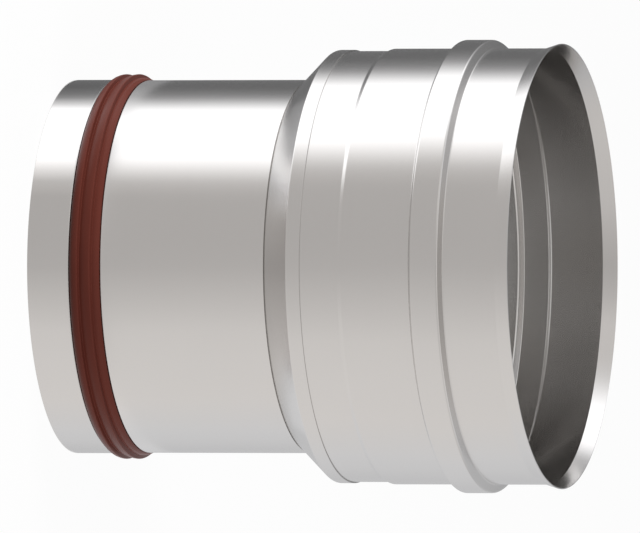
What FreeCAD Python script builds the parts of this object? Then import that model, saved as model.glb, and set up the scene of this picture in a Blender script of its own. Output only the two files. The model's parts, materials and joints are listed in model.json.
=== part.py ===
import FreeCAD, Part
import math
import os

# Conical flue adapter, standing on its spigot with the socket mouth up. Everything is turned
# about Z, which starts at the middle of the spigot's end. Sizes are in millimetres.

# The two flue sizes that the adapter joins
small_flue = 130.0          # outer diameter of the spigot
large_flue = 150.0          # outer diameter of the pipe that the socket takes
socket_play = 0.4           # radial room round that pipe

# The sheet and its welded laps
sheet = 0.4
lap = 4.6                   # how far a tube and a collar of the cone overlap
lap_gap = 0.03              # room between two lapped sheets

# Spigot tube, from its end upwards
end_ring_height = 14.9      # plain ring below the seal groove
end_ring_swell = 0.15       # the ring springs out by this when the groove is rolled
groove_width = 11.2
groove_depth = 2.0
groove_flank = 0.9          # height that each sloping side of the groove takes
spigot_plain = 58.6         # plain tube from the groove to the cone

# Reducing cone
cone_angle = 45.0

# Socket tube, from its lower edge upwards
tube_plain = 17.8           # stretch in the size of the large flue
step_height = 1.9           # slope that widens it to the socket
socket_below_bead = 23.9
bead_width = 12.2
bead_rise = 3.0
bead_flank = 1.3            # height that each sloping side of the bead takes
socket_above_bead = 18.5
lip_height = 4.9
lip_flare = 1.6

# Seal with two lips and a low tail. Each lip has an arched back, which faces the spigot's end,
# and drops off steeply behind its crest.
seal_gap = 0.05             # room between the seal and the groove
lip_rise = 2.15             # height of both crests over the spigot
first_lip = 3.2             # height along the axis from the seal's lower edge to the first crest
second_lip = 4.0            # from the valley behind it to the second crest
lip_drop = 0.5              # height over which a lip falls behind its crest
valley_rise = 1.0           # the first valley stays this far over the spigot
tail_rise = 1.25            # and the second one this far
lip_arch = 0.2              # height of the arch of a lip's back

spigot_radius = small_flue / 2
end_ring_radius = spigot_radius + end_ring_swell
groove_radius = spigot_radius - groove_depth
groove_top = end_ring_height + groove_width
spigot_top = groove_top + spigot_plain

inner_collar_radius = spigot_radius - sheet - lap_gap
outer_collar_radius = large_flue / 2 + lap_gap + sheet
cone_rise = (outer_collar_radius - inner_collar_radius) / math.tan(math.radians(cone_angle))
shoulder = spigot_top + cone_rise
# The tube's edge clears the hollow side of the bend at the shoulder
socket_foot = shoulder + sheet * math.tan(math.radians(90 - cone_angle) / 2) + lap_gap

tube_radius = large_flue / 2
socket_radius = tube_radius + socket_play + sheet
bead_radius = socket_radius + bead_rise


def place(point):
    """Point of the section at a radius and a height."""
    return FreeCAD.Vector(point[0], 0, point[1])


def turned(edges):
    """Solid made by turning a closed section about Z."""
    face = Part.Face(Part.Wire(edges))
    return face.revolve(FreeCAD.Vector(0, 0, 0), FreeCAD.Vector(0, 0, 1), 360)


def line(a, b):
    return Part.makeLine(place(a), place(b))


def arched(a, b, arch):
    """Arc from a up to b that swells away from the axis."""
    run, rise = b[0] - a[0], b[1] - a[1]
    out = arch / math.hypot(run, rise)
    middle = ((a[0] + b[0]) / 2 + rise * out, (a[1] + b[1]) / 2 - run * out)
    return Part.Arc(place(a), place(middle), place(b)).toShape()


def folded_sheet(outline):
    """Turned sheet whose outer face follows the outline upwards, with its thickness inside."""
    ways = []
    for a, b in zip(outline, outline[1:]):
        length = math.hypot(b[0] - a[0], b[1] - a[1])
        ways.append(((b[0] - a[0]) / length, (b[1] - a[1]) / length))
    inner = []
    for (r, z), into, out in zip(outline, ways[:1] + ways, ways + ways[-1:]):
        reach = sheet / (1 + into[0] * out[0] + into[1] * out[1])
        inner.append((r - (into[1] + out[1]) * reach, z + (into[0] + out[0]) * reach))
    section = outline + inner[::-1]
    return turned([line(a, b) for a, b in zip(section, section[1:] + section[:1])])


def spigot_tube():
    """Tube of the small flue's size with a groove rolled into it for the seal."""
    return folded_sheet([
        (end_ring_radius, 0),
        (end_ring_radius, end_ring_height),
        (groove_radius, end_ring_height + groove_flank),
        (groove_radius, groove_top - groove_flank),
        (spigot_radius, groove_top),
        (spigot_radius, spigot_top),
    ])


def reducing_cone():
    """Cone with a collar inside the spigot's top and a collar round the socket tube's foot."""
    return folded_sheet([
        (inner_collar_radius, spigot_top - lap),
        (inner_collar_radius, spigot_top),
        (outer_collar_radius, shoulder),
        (outer_collar_radius, socket_foot + lap),
    ])


def socket_tube():
    """Tube of the large flue's size, stepped out to a socket with a bead and a flared lip."""
    step = socket_foot + tube_plain
    socket_floor = step + step_height
    bead = socket_floor + socket_below_bead
    bead_top = bead + bead_width
    lip = bead_top + socket_above_bead
    return folded_sheet([
        (tube_radius, socket_foot),
        (tube_radius, step),
        (socket_radius, socket_floor),
        (socket_radius, bead),
        (bead_radius, bead + bead_flank),
        (bead_radius, bead_top - bead_flank),
        (socket_radius, bead_top),
        (socket_radius, lip),
        (socket_radius + lip_flare, lip + lip_height),
    ])


def spigot_seal():
    """Lip seal that fills the groove and stands proud of the spigot."""
    aside = seal_gap * math.hypot(groove_depth, groove_flank) / groove_depth
    lower, upper = end_ring_height + aside, groove_top - aside
    floor = groove_radius + seal_gap
    crest = spigot_radius + lip_rise
    lower_edge = (end_ring_radius, lower)
    first_crest = (crest, lower + first_lip)
    first_valley = (spigot_radius + valley_rise, first_crest[1] + lip_drop)
    second_crest = (crest, first_valley[1] + second_lip)
    second_valley = (spigot_radius + tail_rise, second_crest[1] + lip_drop)
    upper_edge = (spigot_radius, upper)
    upper_foot = (floor, upper - groove_flank)
    lower_foot = (floor, lower + groove_flank)
    return turned([
        arched(lower_edge, first_crest, lip_arch),
        line(first_crest, first_valley),
        arched(first_valley, second_crest, lip_arch),
        line(second_crest, second_valley),
        line(second_valley, upper_edge),
        line(upper_edge, upper_foot),
        line(upper_foot, lower_foot),
        line(lower_foot, lower_edge),
    ])


os.makedirs("parts", exist_ok=True)
for make in (spigot_tube, reducing_cone, socket_tube, spigot_seal):
    make().exportStep("parts/" + make.__name__ + ".step")
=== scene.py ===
import json
import math

import bpy
from mathutils import Matrix, Vector


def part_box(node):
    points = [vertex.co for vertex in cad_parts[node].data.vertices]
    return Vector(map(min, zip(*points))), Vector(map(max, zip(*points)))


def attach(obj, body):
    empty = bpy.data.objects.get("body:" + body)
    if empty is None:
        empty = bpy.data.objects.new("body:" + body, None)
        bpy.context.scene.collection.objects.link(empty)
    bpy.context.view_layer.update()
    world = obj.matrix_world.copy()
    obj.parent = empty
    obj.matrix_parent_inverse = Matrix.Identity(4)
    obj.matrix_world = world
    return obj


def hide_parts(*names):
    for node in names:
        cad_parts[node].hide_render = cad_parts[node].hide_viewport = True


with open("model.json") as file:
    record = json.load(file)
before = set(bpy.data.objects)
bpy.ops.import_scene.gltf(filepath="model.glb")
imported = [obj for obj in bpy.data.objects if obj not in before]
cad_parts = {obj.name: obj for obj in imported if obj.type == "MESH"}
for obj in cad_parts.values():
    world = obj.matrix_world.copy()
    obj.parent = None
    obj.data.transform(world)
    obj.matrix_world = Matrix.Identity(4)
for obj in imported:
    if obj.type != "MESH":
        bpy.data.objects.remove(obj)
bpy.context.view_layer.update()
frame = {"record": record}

# Lengths are in metres. The adapter stands on its spigot, and everything on it is turned about Z.
mm = 0.001

# Sheet and folds
sheet = 0.4 * mm
fold = 0.45 * mm               # radius inside most folds
step_fold = 0.8 * mm           # the socket's step is softer
edge_round = 0.07 * mm         # burr taken off a cut edge

# Spigot, from its end upwards
end_ring_height = 14.9 * mm
groove_width = 11.2 * mm
groove_depth = 2.0 * mm
groove_flank = 0.9 * mm        # height that each sloping side of the groove takes
end_ring_swell = 0.15 * mm     # the ring springs out by this when the groove is rolled

# Socket, from the tube's lower edge upwards
tube_plain = 17.8 * mm         # stretch in the size of the large flue
step_height = 1.9 * mm
step_slope = 1.5 * mm          # height of the step's straight slope, midway in the step
socket_step = 0.8 * mm         # how far the socket stands outside the tube
socket_below_bead = 23.9 * mm
bead_width = 12.2 * mm
bead_flank = 1.3 * mm          # height that each sloping side of the bead takes
bead_rise = 3.0 * mm
lip_height = 4.9 * mm
lip_flare = 1.6 * mm

# Seal: two lips with arched backs, which drop off steeply behind their crests, and a low tail
seal_gap = 0.05 * mm           # room between the seal and the groove
lip_rise = 2.15 * mm           # height of both crests over the spigot
first_lip = 3.35 * mm          # along the axis from the seal's lower edge to the first crest
second_lip = 4.0 * mm          # and from the valley behind it to the second crest
lip_drop = 0.5 * mm            # along the axis from a crest to the valley behind it
valley_rise = 0.85 * mm        # the first valley stays this far over the spigot
tail_rise = 0.75 * mm          # and the second one, where the tail starts, this far
first_arch = 0.6 * mm          # height of the arch of the first lip's back
second_arch = 0.28 * mm        # of the second lip's back
tail_arch = 0.42 * mm          # and of the tail
seal_sink = 0.2 * mm           # the rounded lower edge lies this far inside the end ring
seal_edge_round = 0.8 * mm
tail_edge_round = 0.5 * mm
crest_round = 0.32 * mm
valley_round = 0.15 * mm

# Faces
around = 360                       # columns of faces round each piece
turn_per_face = math.radians(9)    # along a fold
straight = math.radians(1)         # a corner that turns less than this stays sharp

# Camera: the adapter lies across the photograph, seen a little from the mouth's side
view_tilt = math.radians(15)
lens = 1350.0                  # so long that the view is nearly parallel
sensor = 36.0
frame_width = 222.9 * mm       # what the photograph's width spans at the axis
frame_middle = 87.7 * mm       # height on the axis at the photograph's middle

# What the frame says
spigot_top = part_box("spigot_tube")[1].z
cone_low, cone_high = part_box("reducing_cone")
socket_low, socket_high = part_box("socket_tube")
mounts = {mount["name"]: mount for mount in frame["record"]["mounts"]}

end_ring_radius = mounts["spigot"]["dims"]["r_mm"] * mm
spigot_radius = end_ring_radius - end_ring_swell
groove_top = end_ring_height + groove_width
socket_radius = mounts["socket"]["dims"]["r_mm"] * mm + sheet
tube_radius = socket_radius - socket_step


def share_of(value, start, end):
    """How far a value is from start to end, from 0 to 1."""
    return min(max((value - start) / (end - start), 0.0), 1.0)


# Sections


def rounded(corners):
    """Closed outline with an arc at each corner, from (radius, height, rounding) taken anticlockwise."""
    points = []
    for before, corner, after in zip(corners[-1:] + corners[:-1], corners, corners[1:] + corners[:1]):
        here = Vector(corner[:2])
        into = (here - Vector(before[:2])).normalized()
        out = (Vector(after[:2]) - here).normalized()
        turn = math.atan2(into.cross(out), into.dot(out))
        size = corner[2]
        if size == 0 or abs(turn) < straight:
            points.append(here)
            continue
        side = math.copysign(size, turn)
        start = here - into * size * math.tan(abs(turn) / 2)
        middle = start + Vector((-into.y, into.x)) * side
        steps = max(2, math.ceil(abs(turn) / turn_per_face))
        for step in range(steps + 1):
            spoke = start - middle
            spoke.rotate(Matrix.Rotation(turn * step / steps, 2))
            points.append(middle + spoke)
    return points


def folded_sheet(outline):
    """Section of a sheet whose outer face follows an outline of (radius, height, fold) upwards."""
    places = [Vector(corner[:2]) for corner in outline]
    ways = [(b - a).normalized() for a, b in zip(places, places[1:])]
    outer, inner = [], []
    for (radius, height, inside), into, out in zip(outline, ways[:1] + ways, ways + ways[-1:]):
        across = into + out
        reach = sheet / (1 + into.dot(out))
        outside = inside if into == out else inside + sheet
        hollow = into.cross(out) < 0
        outer.append((radius, height, inside if hollow else outside))
        inner_fold = outside if hollow else inside
        inner.append((radius - across.y * reach, height + across.x * reach, inner_fold))
    return rounded(outer + inner[::-1])


def arch(a, b, height, steps=8):
    """Points between a and b on an arc that swells away from the axis."""
    chord = Vector(b) - Vector(a)
    swell = Vector((chord.y, -chord.x)).normalized() * height
    spots = []
    for step in range(1, steps):
        share = step / steps
        spots.append((*(Vector(a) + chord * share + swell * 4 * share * (1 - share)), 0))
    return spots


def turned(name, section, material):
    """Mesh of a section turned about Z. Its normals follow the section, so flats reflect as flats."""
    count = len(section)
    spots, normals, faces = [], [], []
    leans = [(section[(i + 1) % count] - section[i - 1]).normalized() for i in range(count)]
    for column in range(around):
        angle = math.tau * column / around
        c, s = math.cos(angle), math.sin(angle)
        for place, lean in zip(section, leans):
            spots.append((place.x * c, place.x * s, place.y))
            normals.append((lean.y * c, lean.y * s, -lean.x))
        start, after = column * count, (column + 1) % around * count
        for i in range(count):
            j = (i + 1) % count
            faces.append((start + i, after + i, after + j, start + j))
    mesh = bpy.data.meshes.new(name)
    mesh.from_pydata(spots, [], faces)
    mesh.shade_smooth()
    mesh.normals_split_custom_set_from_vertices(normals)
    mesh.materials.append(material)
    piece = bpy.data.objects.new(name, mesh)
    bpy.context.scene.collection.objects.link(piece)
    return piece


# Materials


class Wire:
    """A value that a shader node gives. Arithmetic on wires adds Math nodes."""

    def __init__(self, shading, socket):
        self.shading, self.socket = shading, socket

    def math(self, operation, *values):
        return self.shading.node("ShaderNodeMath", {"operation": operation}, dict(enumerate(values)))

    def __add__(self, other):
        return self.math("ADD", self, other)

    def __mul__(self, other):
        return self.math("MULTIPLY", self, other)

    __radd__ = __add__
    __rmul__ = __mul__


class Shading:
    """The nodes of a material or a world."""

    def __init__(self, owner):
        owner.use_nodes = True
        self.nodes, self.links = owner.node_tree.nodes, owner.node_tree.links
        self.nodes.clear()

    def node(self, kind, settings=None, sockets=None, output=0):
        """Adds a node: its settings first, then the values or wires of its sockets."""
        node = self.nodes.new(kind)
        for name, value in (settings or {}).items():
            setattr(node, name, value)
        for name, value in (sockets or {}).items():
            if isinstance(value, Wire):
                self.links.new(value.socket, node.inputs[name])
            else:
                node.inputs[name].default_value = value
        return Wire(self, node.outputs[output] if node.outputs else None)

    def noise(self, place, scale, detail=2.0):
        """Noise from 0 to 1, with its own scale along each axis."""
        stretched = self.node("ShaderNodeVectorMath", {"operation": "MULTIPLY"}, {0: place, 1: scale})
        return self.node("ShaderNodeTexNoise", {}, {"Vector": stretched, "Scale": 1.0, "Detail": detail})

    def tint(self, share, a, b):
        """Colour between a and b."""
        return self.node("ShaderNodeMix", {"data_type": "RGBA"}, {0: share, 6: (*a, 1), 7: (*b, 1)}, 2)


# Rolled steel. The grain and the clouds have so many waves to the metre along X, Y and Z.
steel_light = (0.637, 0.626, 0.614)
steel_dark = (0.607, 0.597, 0.586)
rolled_grain = (24, 24, 5200)
steel_cloud = (34, 34, 21)
grain_depth = 0.02 * mm

# Silicone, the same way
silicone_light = (0.115, 0.0280, 0.0195)
silicone_dark = (0.098, 0.0230, 0.0160)
silicone_skin = (2600, 2600, 2600)
silicone_cloud = (60, 60, 240)
skin_depth = 0.05 * mm


def steel():
    """Rolled stainless sheet: fine grain round the tube and faint cloudiness."""
    material = bpy.data.materials.new("rolled_steel")
    shading = Shading(material)
    place = shading.node("ShaderNodeTexCoord", output="Object")
    grain = shading.noise(place, rolled_grain, 3.0)
    cloud = shading.noise(place, steel_cloud, 3.0)
    height = grain * 0.6 + cloud * 0.4
    bump = shading.node("ShaderNodeBump", {}, {"Strength": 0.04, "Distance": grain_depth, "Height": height})
    surface = shading.node("ShaderNodeBsdfPrincipled", {}, {
        "Base Color": shading.tint(grain * 0.5 + cloud * 0.5, steel_dark, steel_light),
        "Metallic": 1.0,
        "Roughness": 0.17 + grain * 0.03 + cloud * 0.03,
        "Normal": bump,
    })
    shading.node("ShaderNodeOutputMaterial", {}, {"Surface": surface})
    return material


def silicone():
    """Moulded silicone: satin, with a fine skin."""
    material = bpy.data.materials.new("moulded_silicone")
    shading = Shading(material)
    place = shading.node("ShaderNodeTexCoord", output="Object")
    skin = shading.noise(place, silicone_skin)
    cloud = shading.noise(place, silicone_cloud)
    bump = shading.node("ShaderNodeBump", {}, {"Strength": 0.12, "Distance": skin_depth, "Height": skin})
    surface = shading.node("ShaderNodeBsdfPrincipled", {}, {
        "Base Color": shading.tint(cloud, silicone_dark, silicone_light),
        "Roughness": 0.30 + skin * 0.06,
        "Specular IOR Level": 0.1,
        "Normal": bump,
    })
    shading.node("ShaderNodeOutputMaterial", {}, {"Surface": surface})
    return material


# Pieces


def finished(piece, node):
    """Rides on the adapter in place of its plain solid."""
    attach(piece, "root")
    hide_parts(node)


def spigot_sheet(material):
    groove_radius = spigot_radius - groove_depth
    section = folded_sheet([
        (end_ring_radius, 0, edge_round),
        (end_ring_radius, end_ring_height, fold),
        (groove_radius, end_ring_height + groove_flank, fold),
        (groove_radius, groove_top - groove_flank, fold),
        (spigot_radius, groove_top, fold),
        (spigot_radius, spigot_top, edge_round),
    ])
    finished(turned("spigot_sheet", section, material), "spigot_tube")


def cone_sheet(material):
    upper_radius = cone_high.x
    lap_gap = upper_radius - sheet - tube_radius
    inner_radius = spigot_radius - sheet - lap_gap
    section = folded_sheet([
        (inner_radius, cone_low.z, edge_round),
        (inner_radius, spigot_top, fold),
        (upper_radius, spigot_top + upper_radius - inner_radius, fold),
        (upper_radius, cone_high.z, edge_round),
    ])
    finished(turned("cone_sheet", section, material), "reducing_cone")


def socket_sheet(material):
    step = socket_low.z + tube_plain
    socket_floor = step + step_height
    step_ease = (step_height - step_slope) / 2
    bead = socket_floor + socket_below_bead
    bead_top = bead + bead_width
    bead_radius = socket_radius + bead_rise
    lip_radius = socket_radius + lip_flare
    # The mouth's cut edge is square to the flare, so its inner corner is the highest point
    lip_top = socket_high.z - sheet * lip_flare / math.hypot(lip_flare, lip_height)
    section = folded_sheet([
        (tube_radius, socket_low.z, edge_round),
        (tube_radius, step + step_ease, step_fold),
        (socket_radius, socket_floor - step_ease, step_fold),
        (socket_radius, bead, fold),
        (bead_radius, bead + bead_flank, fold),
        (bead_radius, bead_top - bead_flank, fold),
        (socket_radius, bead_top, fold),
        (socket_radius, lip_top - lip_height, fold),
        (lip_radius, lip_top, edge_round),
    ])
    finished(turned("socket_sheet", section, material), "socket_tube")


def lip_seal(material):
    seal_low, seal_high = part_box("spigot_seal")
    lower, upper = seal_low.z, seal_high.z
    floor = spigot_radius - groove_depth + seal_gap
    crest = spigot_radius + lip_rise
    lower_edge = (end_ring_radius - seal_sink, lower + seal_sink * groove_flank / groove_depth)
    first_crest = (crest, lower + first_lip)
    first_valley = (spigot_radius + valley_rise, first_crest[1] + lip_drop)
    second_crest = (crest, first_valley[1] + second_lip)
    second_valley = (spigot_radius + tail_rise, second_crest[1] + lip_drop)
    upper_edge = (spigot_radius, upper)
    section = rounded([
        (*lower_edge, seal_edge_round),
        *arch(lower_edge, first_crest, first_arch)[1:],
        (*first_crest, crest_round),
        (*first_valley, valley_round),
        *arch(first_valley, second_crest, second_arch),
        (*second_crest, crest_round),
        (*second_valley, valley_round),
        *arch(second_valley, upper_edge, tail_arch)[1:],
        (*upper_edge, tail_edge_round),
        (floor, upper - groove_flank, valley_round),
        (floor, lower + groove_flank, valley_round),
    ])
    finished(turned("lip_seal", section, material), "spigot_seal")


# Studio


def camera():
    """Long lens from the photograph's side, rolled so that the adapter lies across the picture."""
    data = bpy.data.cameras.new("camera")
    data.lens, data.sensor_width = lens, sensor
    data.clip_end = 100.0
    holder = bpy.data.objects.new("camera", data)
    bpy.context.scene.collection.objects.link(holder)
    up = Vector((-1, 0, 0))
    back = Vector((0, -math.cos(view_tilt), math.sin(view_tilt)))
    right = up.cross(back)
    turn = Matrix((right, up, back)).transposed()
    place = Vector((0, 0, frame_middle)) + back * frame_width * lens / sensor
    holder.matrix_world = Matrix.Translation(place) @ turn.to_4x4()
    bpy.context.scene.camera = holder


def seen_directly(shading):
    """1 for what the camera sees, itself or in metal and glass, and 0 for soft light."""
    shown = 0
    for ray in ("Is Camera Ray", "Is Glossy Ray", "Is Transmission Ray"):
        shown = shading.node("ShaderNodeLightPath", output=ray) + shown
    return shown.math("MINIMUM", shown, 1.0)


floor_half = 6.0               # metres from the adapter to each side
floor_white = 0.95             # share of plain white in what the floor shows, over its lit face
floor_bounce = 0.12            # share of the light that it throws back on the adapter


def floor():
    """Plain pale floor that shows white and keeps part of the adapter's shadow."""
    low, high = -floor_half, floor_half
    mesh = bpy.data.meshes.new("floor")
    mesh.from_pydata([(low, low, 0), (high, low, 0), (high, high, 0), (low, high, 0)], [], [(0, 1, 2, 3)])
    material = bpy.data.materials.new("pale_floor")
    shading = Shading(material)
    matt = shading.node("ShaderNodeBsdfDiffuse", {}, {"Color": (1, 1, 1, 1)})
    dim = shading.node("ShaderNodeBsdfDiffuse", {}, {"Color": (floor_bounce, floor_bounce, floor_bounce, 1)})
    white = shading.node("ShaderNodeEmission", {}, {"Color": (1, 1, 1, 1), "Strength": 1.0})
    bounced = shading.node("ShaderNodeLightPath", output="Is Diffuse Ray")
    lit = shading.node("ShaderNodeMixShader", {}, {0: bounced, 1: matt, 2: dim})
    shown = seen_directly(shading) * floor_white
    surface = shading.node("ShaderNodeMixShader", {}, {0: shown, 1: lit, 2: white})
    shading.node("ShaderNodeOutputMaterial", {}, {"Surface": surface})
    mesh.materials.append(material)
    ground = bpy.data.objects.new("floor", mesh)
    bpy.context.scene.collection.objects.link(ground)


# Brightness of the studio's walls round the adapter: (degrees, brightness). The degrees go round
# from straight behind it over the picture's top side to the camera, and on over the bottom side.
wall_tones = [
    (0, 0.19), (34, 0.17), (46, 0.27), (52, 0.41), (60, 1.02), (67, 1.85), (109, 1.85),
    (118, 1.22), (126, 0.76), (136, 0.625), (165, 0.624), (180, 0.64), (206, 0.80), (220, 0.89),
    (240, 0.92), (271, 0.94), (300, 0.91), (317, 0.84), (335, 0.70), (360, 0.58),
]
# The same for the upper part of the walls, which the lip's hollow side and the upper side of the
# bead mirror
upper_tones = [
    (0, 0.14), (16, 0.18), (32, 0.28), (50, 0.45), (60, 0.68), (66, 1.10), (73, 1.85), (100, 1.85),
    (109, 1.35), (118, 0.92), (130, 0.80), (150, 0.84), (165, 0.67), (180, 0.575), (195, 0.65),
    (212, 0.75), (255, 0.81), (280, 0.77), (308, 0.65), (330, 0.64), (342, 0.44), (352, 0.24),
    (360, 0.14),
]
# And for a shelf close to the spigot, which the cone mirrors by way of the spigot
shelf_tones = [
    (0, 0.28), (30, 0.38), (50, 0.62), (63, 1.20), (80, 1.85), (92, 1.45), (103, 0.92),
    (115, 0.83), (140, 0.73), (180, 0.62), (215, 0.76), (237, 0.86), (281, 1.02), (330, 0.86),
    (360, 0.60),
]
# And for the top of the walls, under the roof
top_tones = [
    (0, 0.54), (60, 0.90), (120, 0.88), (165, 0.68), (215, 0.70), (255, 0.88), (300, 0.96),
    (360, 0.54),
]
roof_tone = 0.95

# The picture's top side is a little cool and its bottom side a little warm
warm_tint, cool_tint = Vector((1.03, 1.0, 0.982)), Vector((0.996, 1.0, 1.02))
warm_from, warm_full, cool_from, cool_full = 105, 130, 270, 305    # degrees, as in the tones

# Tent of panels round the adapter: how far they reach from the axis and how high they rise
tent_foot = end_ring_radius + 0.3 * mm
collar_reach, collar_top = 72 * mm, 13 * mm
shelf_reach, shelf_top = 110 * mm, 14.5 * mm
wall_reach, bowl_top, wall_top, roof_top = 700 * mm, 211 * mm, 1400 * mm, 1700 * mm
shelf_from = collar_reach + 3 * mm    # the shelf's tones come in up to this reach
shelf_until = shelf_reach - 6 * mm    # and fade out from this one
upper_from = 110 * mm                 # height from which the upper tones come in
top_from, top_full = 520 * mm, 800 * mm
side_columns, back_columns = 180, 60  # of panels


def tone_at(tones, aim):
    """Brightness in a list of tones at an aim in degrees."""
    for (a, low), (b, high) in zip(tones, tones[1:]):
        if aim <= b:
            return low + (high - low) * share_of(aim, a, b)
    return tones[-1][1]


def between(a, b, rows, power=1):
    """Rows of a profile from a on towards b, closer to a where the power is over 1."""
    return [Vector(a).lerp(Vector(b), (row / rows) ** power) for row in range(rows)]


def mirrored_angle(reach, z, facing, across_mouth):
    """Angle round the axis at which the camera sees panels in the side that faces a given way."""
    shoulder = spigot_top + cone_high.x - spigot_radius
    lip_middle = socket_radius + lip_flare / 2
    radius = min(spigot_radius, reach)
    # The place that mirrors a panel lies higher than the panel. How high depends on the radius
    # there, and the radius on the height: a second round settles both.
    for _ in range(2):
        travel = math.sqrt(reach ** 2 - (radius * math.sin(facing)) ** 2) - radius * math.cos(facing)
        start = z + travel * math.tan(view_tilt)
        on_socket = share_of(start, spigot_top, shoulder)
        radius = min(spigot_radius + (socket_radius - spigot_radius) * on_socket, reach)
    # Over the mouth the lip's hollow side mirrors the panels, from across the mouth
    radius += (-min(lip_middle, reach) - radius) * across_mouth
    return 2 * facing - math.asin(radius / reach * math.sin(facing))


def panel_glow(aim, z, on_shelf, over_mouth, overhead):
    """Colour of a panel that shows the studio at an aim in degrees."""
    tone = tone_at(wall_tones, aim)
    tone += (tone_at(shelf_tones, aim) - tone) * on_shelf
    tone += (tone_at(upper_tones, aim) - tone) * over_mouth
    tone += (tone_at(top_tones, aim) - tone) * overhead
    tone += (roof_tone - tone) * share_of(z, wall_top, (wall_top + roof_top) / 2)
    warmth = share_of(aim, warm_from, warm_full) - share_of(aim, cool_from, cool_full)
    return cool_tint.lerp(warm_tint, warmth) * tone


def light_tent():
    """Collar, shelf, bowl, wall and roof of soft panels, which only the adapter's gloss shows.

    A panel is as bright as the studio's wall in the direction in which the adapter's side
    mirrors the camera there, so the tent reflects as walls far away would.
    """
    profile = [
        *between((tent_foot, 0), (collar_reach, collar_top), 24),
        *between((collar_reach, collar_top), (shelf_reach, shelf_top), 16),
        *between((shelf_reach, shelf_top), (wall_reach, bowl_top), 50, 2),
        *between((wall_reach, bowl_top), (wall_reach, wall_top), 30),
        *between((wall_reach, wall_top), (0, roof_top), 12),
    ]
    spots, glows, faces = [], [], []
    for reach, z in profile:
        over_mouth = share_of(z, upper_from, socket_high.z)
        overhead = share_of(z, top_from, top_full)
        on_shelf = 0
        if z <= bowl_top:
            on_shelf = share_of(reach, collar_reach, shelf_from) - share_of(reach, shelf_until, shelf_reach)
        for column in range(side_columns + 1):
            facing = math.radians(90 - 180 * column / side_columns)
            angle = mirrored_angle(reach, z, facing, over_mouth - overhead)
            spots.append((-reach * math.sin(angle), -reach * math.cos(angle), z))
            glows.append(panel_glow(360 * column / side_columns, z, on_shelf, over_mouth, overhead))
        # Behind the adapter nothing mirrors the camera, and the panels close the ring
        last, first = glows[-1], glows[-1 - side_columns]
        for column in range(1, back_columns):
            share = column / back_columns
            behind = angle - (2 * angle + math.tau) * share
            spots.append((-reach * math.sin(behind), -reach * math.cos(behind), z))
            glows.append(last.lerp(first, share))
    count = side_columns + back_columns
    for row in range(len(profile) - 1):
        for column in range(count):
            after = (column + 1) % count
            low, high = row * count, (row + 1) * count
            faces.append((low + column, low + after, high + after, high + column))
    mesh = bpy.data.meshes.new("light_tent")
    mesh.from_pydata(spots, [], faces)
    colours = [part for glow in glows for part in (*glow, 1.0)]
    mesh.attributes.new("glow", "FLOAT_COLOR", "POINT").data.foreach_set("color", colours)
    material = bpy.data.materials.new("lit_panel")
    material.cycles.emission_sampling = "NONE"
    shading = Shading(material)
    glow = shading.node("ShaderNodeAttribute", {"attribute_name": "glow"}, output="Color")
    panel = shading.node("ShaderNodeEmission", {}, {"Color": glow, "Strength": 1.0})
    shading.node("ShaderNodeOutputMaterial", {}, {"Surface": panel})
    mesh.materials.append(material)
    tent = bpy.data.objects.new("light_tent", mesh)
    bpy.context.scene.collection.objects.link(tent)
    tent.visible_camera = tent.visible_diffuse = tent.visible_transmission = False
    tent.visible_shadow = tent.visible_volume_scatter = False


soft_light = 0.3               # strength of the light that comes evenly from all round


def softbox(name, place, side, watts):
    """Square lamp aimed at the adapter's middle. The tent, and not the lamp, shows in the steel."""
    data = bpy.data.lights.new(name, "AREA")
    data.energy, data.size = watts, side
    lamp = bpy.data.objects.new(name, data)
    bpy.context.scene.collection.objects.link(lamp)
    lamp.location = place
    aim = Vector((0, 0, frame_middle)) - Vector(place)
    lamp.rotation_euler = aim.to_track_quat("-Z", "Y").to_euler()
    lamp.visible_glossy = False


def room():
    """Soft even light, and white where it is seen."""
    world = bpy.data.worlds.new("room")
    bpy.context.scene.world = world
    world.cycles.sampling_method = "NONE"
    shading = Shading(world)
    strength = soft_light + seen_directly(shading) * (1 - soft_light)
    light = shading.node("ShaderNodeBackground", {}, {"Color": (1, 1, 1, 1), "Strength": strength})
    shading.node("ShaderNodeOutputWorld", {}, {"Surface": light})


camera()
sheet_steel, seal_rubber = steel(), silicone()
spigot_sheet(sheet_steel)
cone_sheet(sheet_steel)
socket_sheet(sheet_steel)
lip_seal(seal_rubber)
floor()
light_tent()
# Lamps: place and side in metres, then watts
softbox("key_light", (-1.38, -0.40, 0.34), 0.65, 27.5)
softbox("fill_light", (1.12, -0.94, 0.34), 0.65, 15.0)
room()

bpy.context.scene.view_settings.view_transform = "Standard"
# The passage shows its walls in each other many times over
bpy.context.scene.cycles.glossy_bounces = 12
